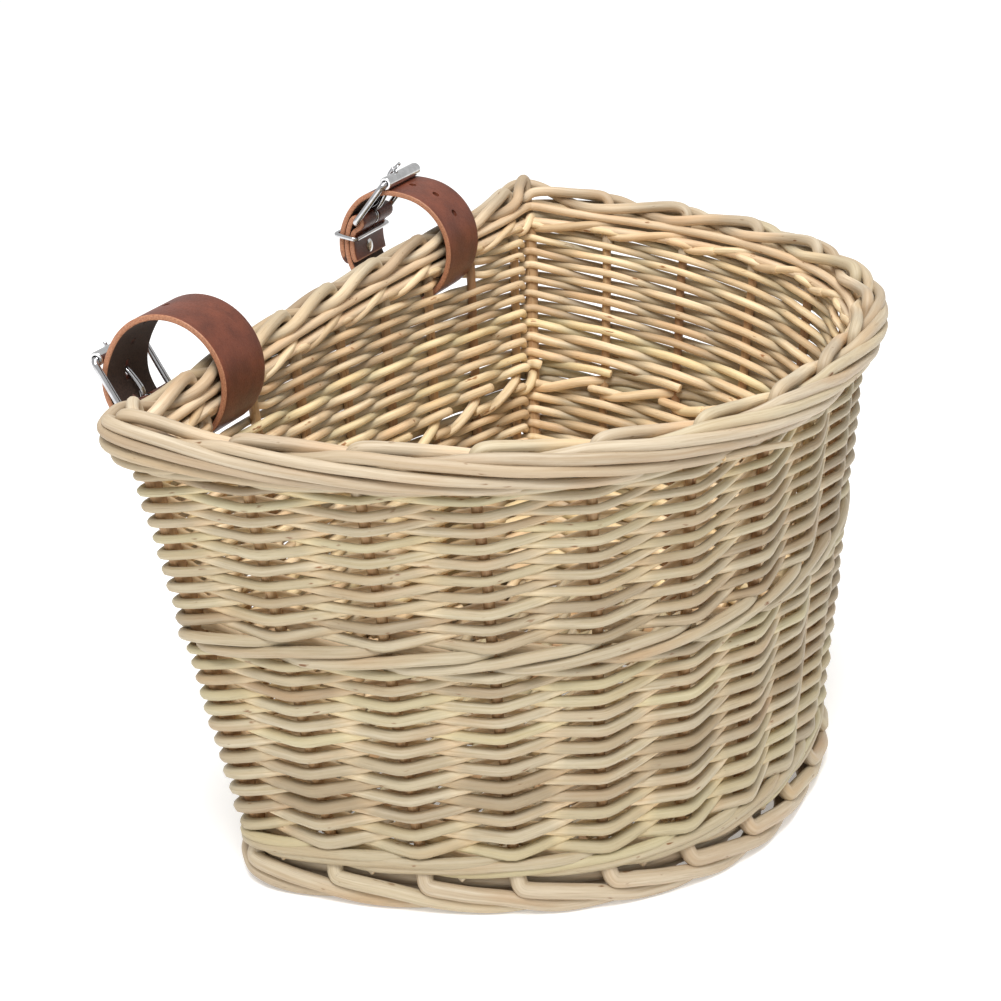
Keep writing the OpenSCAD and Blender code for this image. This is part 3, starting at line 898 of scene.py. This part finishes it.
def in_loop(side, points):
    """Points in millimetres of the part as [towards the handlebar, up] round the loop's centre."""
    return turned_by(points[..., 1:] - LOOP[side][1:], -TURN[side])


def to_world(side, x, q):
    """Strap points (x across the strap, q round the loop) to millimetres of the part."""
    yz = turned_by(np.asarray(q, float), TURN[side]) + LOOP[side][1:]
    return np.concatenate([np.broadcast_to(LOOP[side][0] + x, yz.shape[:-1])[..., None], yz], -1)


BAR_AT = in_loop("right", joint_place("right_frame_tilt"))
FRONT_AT = in_loop("right", joint_place("right_roller_spin"))
BAR_POLAR = math.degrees(math.atan2(BAR_AT[1], BAR_AT[0]))
BAR_RADIUS = float(np.hypot(*BAR_AT))
FOLD_MID = WIRE_R + BAR_PLAY + STRAP_T / 2
FRAME_L = float(np.hypot(*(FRONT_AT - BAR_AT)))
ALONG = (FRONT_AT - BAR_AT) / FRAME_L
AWAY = np.array([ALONG[1], -ALONG[0]])


def on_frame(a, g):
    """A place along the buckle frame from its bar, and away from it on the outside."""
    return BAR_AT + ALONG * a + AWAY * g


def tip_radius(degrees):
    """The tip lies on the buckle end up to 45 degrees and comes down to the single layer at 100."""
    return TIP_MID + (LAYER_MID - TIP_MID) * smooth((degrees - 45) / 55)


def strap_line():
    """The middle of the leather from the tip once round the loop, over the bar and back to the tail."""
    tip = np.arange(TIP_END, 100, 1.5)
    tip_line = polar(tip_radius(tip), tip)
    ring = np.arange(101, 360 + BAR_POLAR - 0.5, 1.5)
    fold = np.arange(0, 180.1, 12)
    back = np.arange(BAR_POLAR - 1.5, TIP_END, -1.5)
    settle = smooth((back - 12) / (BAR_POLAR - 12))
    inner = polar(INNER_MID + (BAR_RADIUS - FOLD_MID - INNER_MID) * settle, back)
    line = np.vstack([tip_line, polar(LAYER_MID, ring), BAR_AT + polar(FOLD_MID, BAR_POLAR + fold), inner])
    s = distance_along(line)
    even = np.linspace(0, s[-1], int(s[-1] / 0.9))
    line = np.column_stack([np.interp(even, s, line[:, i]) for i in range(2)])
    return soften(line, 0.9)


STRAP_LINE = strap_line()


def strap_section(half_w, half_t, soft):
    """Rounded rectangle, anticlockwise, as rows of (across, out)."""
    across = np.linspace(-1, 1, 15)[1:-1] * (half_w - soft)
    out = []
    for cx, cy, start in ((1, 1, 0), (-1, 1, 90), (-1, -1, 180), (1, -1, 270)):
        for a in np.radians(start + np.array([0, 22, 45, 68, 90])):
            out.append((cx * (half_w - soft) + soft * math.cos(a), cy * (half_t - soft) + soft * math.sin(a)))
        if start in (0, 180):
            out += [(-cx * x, cy * half_t) for x in across]
    return np.array(out)


def cutter_mesh(side):
    """The punched holes, the hole in use and the slot in the fold, as one mesh."""
    bm = bmesh.new()

    def drum(a, b, r, segments):
        d = Vector(b - a)
        spot = Matrix.Translation(Vector((a + b) / 2)) @ d.to_track_quat("Z", "Y").to_matrix().to_4x4()
        bmesh.ops.create_cone(
            bm, cap_ends=True, segments=segments, radius1=r, radius2=r, depth=d.length, matrix=spot)

    for a in HOLES_AT:
        r = tip_radius(a)
        # over the buckle end only the upper layer is punched
        reach = 1.12 if a < 60 else 1.8
        drum(to_world(side, 0.0, polar(r - reach, a)), to_world(side, 0.0, polar(r + 1.8, a)), HOLE_R, 24)
    # slot for the prong in the fold
    drum(to_world(side, -PRONG_SLOT / 2, BAR_AT), to_world(side, PRONG_SLOT / 2, BAR_AT), PRONG_SLOT_R, 28)
    # the hole in use, long enough for the prong to lift
    tilt = -38 + math.degrees(math.atan2(ALONG[1], ALONG[0])) + TURN[side]
    centre = to_world(side, 0.0, on_frame(14.2, 1.6))
    spot = Matrix.Translation(Vector(centre)) @ Matrix.Rotation(math.radians(tilt), 4, "X")
    spot = spot @ Matrix.Diagonal((2.9, 8.6, 7.0, 1))
    bmesh.ops.create_cube(bm, size=1.0, matrix=spot)
    mesh = bpy.data.meshes.new(side + "_cutter")
    bmesh.ops.scale(bm, vec=(MM, MM, MM), verts=bm.verts)
    bm.to_mesh(mesh)
    bm.free()
    return mesh


def punched(obj, side):
    """The object's mesh with the holes cut out of it."""
    cutter = new_object(side + "_cutter", cutter_mesh(side))
    cut = obj.modifiers.new("holes", "BOOLEAN")
    cut.operation, cut.object, cut.solver = "DIFFERENCE", cutter, "EXACT"
    cut.use_self = True
    holed = bpy.data.meshes.new_from_object(obj.evaluated_get(bpy.context.evaluated_depsgraph_get()))
    obj.modifiers.clear()
    bpy.data.objects.remove(cutter)
    return holed


def faces_outward(mesh):
    bm = bmesh.new()
    bm.from_mesh(mesh)
    bmesh.ops.recalc_face_normals(bm, faces=bm.faces)
    bm.to_mesh(mesh)
    bm.free()


def strap(side):
    line = STRAP_LINE
    n = len(line)
    d = np.gradient(line, axis=0)
    d /= np.linalg.norm(d, axis=1)[:, None]
    normal = np.column_stack([d[:, 1], -d[:, 0]])
    s = distance_along(line)
    section = strap_section(STRAP_HALF, STRAP_T / 2, EDGE_SOFT)
    m = len(section)
    tip = np.clip(1 - s / TIP_LENGTH, 0, 1)
    tail = np.clip(1 - (s[-1] - s) / TAIL_LENGTH, 0, 1)
    width = 1 - TIP_NARROW * (1 - np.sqrt(np.maximum(1 - tip ** 2, 0))) - TAIL_NARROW * tail ** 2
    thin = 1 - TIP_THIN * tip ** 3
    x = section[None, :, 0] * width[:, None]
    out = section[None, :, 1] * thin[:, None]
    q = line[:, None, :] + normal[:, None, :] * out[:, :, None]
    verts = to_world(side, x, q).reshape(-1, 3)
    quads = tube_quads(n, m)[:, ::-1]
    centre0, centre1 = verts[:m].mean(0), verts[-m:].mean(0)
    verts = np.vstack([verts, centre0, centre1])
    k = np.arange(m)
    tri0 = np.stack([k, (k + 1) % m, np.full(m, n * m)], -1)
    base = (n - 1) * m
    tri1 = np.stack([base + (k + 1) % m, base + k, np.full(m, n * m + 1)], -1)
    obj = new_object(side + "_strap_leather", fill_mesh("whole_strap", verts, quads, np.vstack([tri0, tri1])))
    faces_outward(obj.data)
    holed = punched(obj, side)
    holed.name = obj.name
    obj.data = holed
    # where every point lies in the strap: across, along, out of the leather
    co = np.zeros(len(holed.vertices) * 3, np.float32)
    holed.vertices.foreach_get("co", co)
    co = co.reshape(-1, 3).astype(float) / MM
    across = co[:, 0] - LOOP[side][0]
    flat = in_loop(side, co)
    nearest = np.array([np.argmin(((line - p) ** 2).sum(1)) for p in flat])
    rise = ((flat - line[nearest]) * normal[nearest]).sum(1)
    edge = np.clip((np.abs(across) - (STRAP_HALF - 0.75)) / 0.5, 0, 1)
    ends = np.clip((0.6 - s[nearest]) / 0.5, 0, 1) + np.clip((s[nearest] - s[-1] + 0.6) / 0.5, 0, 1)
    edge = np.clip(np.maximum(edge * (np.abs(rise) < 0.96), ends), 0, 1)
    patch = 40 if side == "left" else 0
    put_attribute(holed, "skin", np.column_stack([across, s[nearest], rise * 2 + patch]))
    put_attribute(holed, "layer", np.column_stack([rise / (STRAP_T / 2), edge, np.zeros(len(rise))]))
    holed.materials.clear()
    holed.materials.append(strap_leather)
    holed.polygons.foreach_set("use_smooth", np.ones(len(holed.polygons), bool))
    holed.set_sharp_from_angle(angle=math.radians(42))
    stand_for(obj, side + "_strap", side + "_strap")


def rounded(corners, soft, per=7):
    """A closed run through corners (rows), with each corner rounded by soft millimetres."""
    c = np.asarray(corners, float)
    out = []
    for i in range(len(c)):
        a, b, d = c[i - 1], c[i], c[(i + 1) % len(c)]
        p = b + (a - b) / np.linalg.norm(a - b) * soft
        q = b + (d - b) / np.linalg.norm(d - b) * soft
        f = np.linspace(0, 1, per)[:, None]
        out.append((1 - f) ** 2 * p + 2 * f * (1 - f) * b + f ** 2 * q)
        run = np.linspace(0, 1, 8)[1:-1, None]
        nxt = d + (b - d) / np.linalg.norm(b - d) * soft
        out.append(q + (nxt - q) * run)
    return np.vstack(out)


def wire(side, seed, corners, soft, r, sides):
    """A closed wire through corners given as (across, place round the loop)."""
    rods = Rods(seed)
    rods.add(rounded([to_world(side, x, q) for x, q in corners], soft), r, sides=sides, closed=True)
    return rods


def buckle_frame(side, seed):
    w = FRAME_HALF
    rods = wire(side, seed, ((-w, BAR_AT), (w, BAR_AT), (w, FRONT_AT), (-w, FRONT_AT)), 2.4, WIRE_R, 16)
    node = side + "_buckle_frame"
    rods.piece(node + "_wire", frame_steel, node, "buckle_steel", side + "_buckle")


def roller(side, seed):
    half = FRAME_HALF - WIRE_R - 0.25
    edge = [(half - 2.2, ROLLER_R), (half - 0.9, ROLLER_R), (half - 0.35, 2.45), (half, 2.2), (half, 1.45)]
    profile = [(-x, r) for x, r in reversed(edge)]
    profile += [(x, ROLLER_R) for x in np.linspace(-half + 3, half - 3, 9)]
    profile += edge + [(half - 0.6, 1.3), (-half + 0.6, 1.3)]

    def spot(x, u, v):
        return to_world(side, x, FRONT_AT + np.column_stack([u, v]))

    rods = Rods(seed)
    turn(rods, spot, profile, 40)
    body = side + "_roller"
    finish_turned(rods.piece(body + "_tube", roller_steel, side + "_buckle_roller", "roller_steel", body))


PRONG_R, PRONG_TIP_R = 1.05, 0.62
PRONG_RING = 2.28


def prong(side, seed):
    lie = math.atan2(ALONG[1], ALONG[0])
    wrap = np.radians(np.linspace(250, -60, 26))
    ring = BAR_AT + PRONG_RING * np.column_stack([np.cos(lie + wrap), np.sin(lie + wrap)])
    rest = ROLLER_R + PRONG_R + BAR_PLAY
    places = ((4.2, -0.2), (8.5, 0.2), (13.2, 1.1), (16.0, 2.5), (18.6, rest), (21.5, rest + 0.1),
              (FRAME_L, rest), (FRAME_L + 4.0, rest - 0.45))
    path = np.vstack([ring, curve_through([on_frame(a, g) for a, g in places], per=6)])
    thick = np.full(len(path), PRONG_R)
    thick[-14:] = np.linspace(PRONG_R, PRONG_TIP_R, 14)
    rods = Rods(seed)
    rods.add(to_world(side, 0.0, soften(path, 1.5)), thick, sides=14)
    body = side + "_prong"
    rods.piece(body + "_pin", frame_steel, side + "_buckle_prong", "buckle_steel", body)


KEEPER_GAP, KEEPER_SIDE, KEEPER_R = 1.1, 1.3, 0.9


def keeper(side, seed):
    w = STRAP_HALF + KEEPER_SIDE
    low, high = (polar(r, KEEPER_AT) for r in (
        INNER_MID - STRAP_T / 2 - KEEPER_GAP, TIP_MID + STRAP_T / 2 + KEEPER_GAP))
    rods = wire(side, seed, ((-w, low), (w, low), (w, high), (-w, high)), 1.5, KEEPER_R, 14)
    node = side + "_keeper"
    rods.piece(node + "_wire", frame_steel, node, "buckle_steel", node)


def rivet(side, seed):
    inner, outer = INNER_MID - STRAP_T / 2, LOOP_R + STRAP_T
    # a domed head on the inside, the stem through both layers, a flat head on the outside
    profile = [(inner - 0.75, 0.0), (inner - 0.75, 0.7), (inner - 0.62, 1.5), (inner - 0.35, 2.3),
               (inner - 0.08, 2.65), (inner + 0.02, 2.6), (inner + 0.02, 1.5), (outer - 0.5, 1.5),
               (outer - 0.5, 2.9), (outer - 0.1, 2.95), (outer + 0.04, 2.6), (outer + 0.05, 0.0)]
    spoke = polar(1.0, RIVET_AT)
    across = np.array([-spoke[1], spoke[0]])

    def spot(h, u, v):
        return to_world(side, u, spoke * h[:, None] + across * v[:, None])

    rods = Rods(seed)
    turn(rods, spot, profile, 32)
    node = side + "_rivet"
    finish_turned(rods.piece(node + "_heads", rivet_steel, node, "rivet_steel", side + "_strap"))


def turn(rods, spot, profile, sides):
    """Rows (place on an axis, radius) turned round it: a ring, or a solid where the end radii are 0."""
    angle = np.arange(sides) * 2 * math.pi / sides
    capped = profile[0][1] == 0.0
    rings = profile[1:-1] if capped else profile
    grain = [np.column_stack([r * np.cos(angle), r * np.sin(angle), np.full(sides, h)]) for h, r in rings]
    tris = np.zeros((0, 3), int)
    if capped:
        grain += [np.array([[0.0, 0.0, profile[end][0]]]) for end in (0, -1)]
        k = np.arange(sides)
        nxt = (k + 1) % sides
        last = (len(rings) - 1) * sides
        tris = np.concatenate([
            np.stack([np.full(sides, last + sides), nxt, k], -1),
            np.stack([np.full(sides, last + sides + 1), last + k, last + nxt], -1)])
    verts = np.concatenate([spot(g[:, 2], g[:, 0], g[:, 1]) for g in grain])
    rods.add_plain(verts, np.concatenate(grain), tube_quads(len(rings), sides, not capped), tris)


def finish_turned(obj):
    faces_outward(obj.data)
    obj.data.set_sharp_from_angle(angle=math.radians(38))


for side, seed in (("left", 61), ("right", 71)):
    strap(side)
    for i, make in enumerate((buckle_frame, roller, prong, keeper, rivet)):
        make(side, seed + i)


# ---- floor, light and camera ----

FLOOR_HALF, FLOOR_Z = 4.0, -0.0002
FLOOR_GLOW = 0.27
SKY = 0.66
AIM = (0.0, -0.07, 0.1)


def floor_plane():
    mesh = bpy.data.meshes.new("studio_floor")
    corners = [(x * FLOOR_HALF, y * FLOOR_HALF, FLOOR_Z) for x, y in ((-1, -1), (1, -1), (1, 1), (-1, 1))]
    mesh.from_pydata(corners, [], [(0, 1, 2, 3)])
    g = Graph("studio_white")
    shader = g.node(
        "BsdfPrincipled", {"Base Color": (0.92, 0.92, 0.92, 1), "Roughness": 0.9, "Specular IOR Level": 0.05})
    glow = g.node("Emission", {"Color": (1, 1, 1, 1), "Strength": FLOOR_GLOW})
    both = g.node("AddShader", {0: shader.outputs[0], 1: glow.outputs[0]})
    g.tree.links.new(both.outputs[0], g.out.inputs[0])
    mesh.materials.append(g.material)
    new_object("studio_floor", mesh)


def area(name, spot, size, power):
    lamp = bpy.data.lights.new(name, "AREA")
    lamp.shape, lamp.size, lamp.energy = "DISK", size, power
    obj = new_object(name, lamp)
    obj.location = spot
    obj.rotation_euler = (Vector(AIM) - Vector(spot)).to_track_quat("-Z", "Y").to_euler()


def light():
    world = bpy.data.worlds.new("studio")
    scene.world = world
    world.use_nodes = True
    sky = world.node_tree.nodes["Background"]
    sky.inputs[0].default_value = (1.0, 1.0, 1.0, 1)
    sky.inputs[1].default_value = SKY
    area("key", (-0.95, -0.30, 1.50), 0.7, 20.0)
    area("top", (-0.1, -0.2, 1.7), 0.9, 10.0)
    scene.view_settings.view_transform = "Standard"
    scene.view_settings.look = "None"


# the camera's direction from the object; its place away along it, right and up, in millimetres
AZIMUTH, ELEVATION = math.radians(-67.26), math.radians(20.62)
DISTANCE, RIGHT, UP = 957.8, 41.0, 85.0
SENSOR_MM, LENS_MM = 36.0, 91.4925


def camera():
    back = np.array([math.sin(AZIMUTH) * math.cos(ELEVATION), -math.cos(AZIMUTH) * math.cos(ELEVATION),
                     math.sin(ELEVATION)])
    right = np.array([math.cos(AZIMUTH), math.sin(AZIMUTH), 0.0])
    up = np.cross(back, right)
    spot = (back * DISTANCE + right * RIGHT + up * UP) * MM
    lens = bpy.data.cameras.new("camera")
    lens.sensor_width, lens.lens = SENSOR_MM, LENS_MM
    lens.clip_start, lens.clip_end = 0.05, 30
    obj = new_object("camera", lens)
    obj.matrix_world = Matrix(np.column_stack([right, up, back, spot]).tolist() + [[0, 0, 0, 1]])
    scene.camera = obj


floor_plane()
light()
camera()
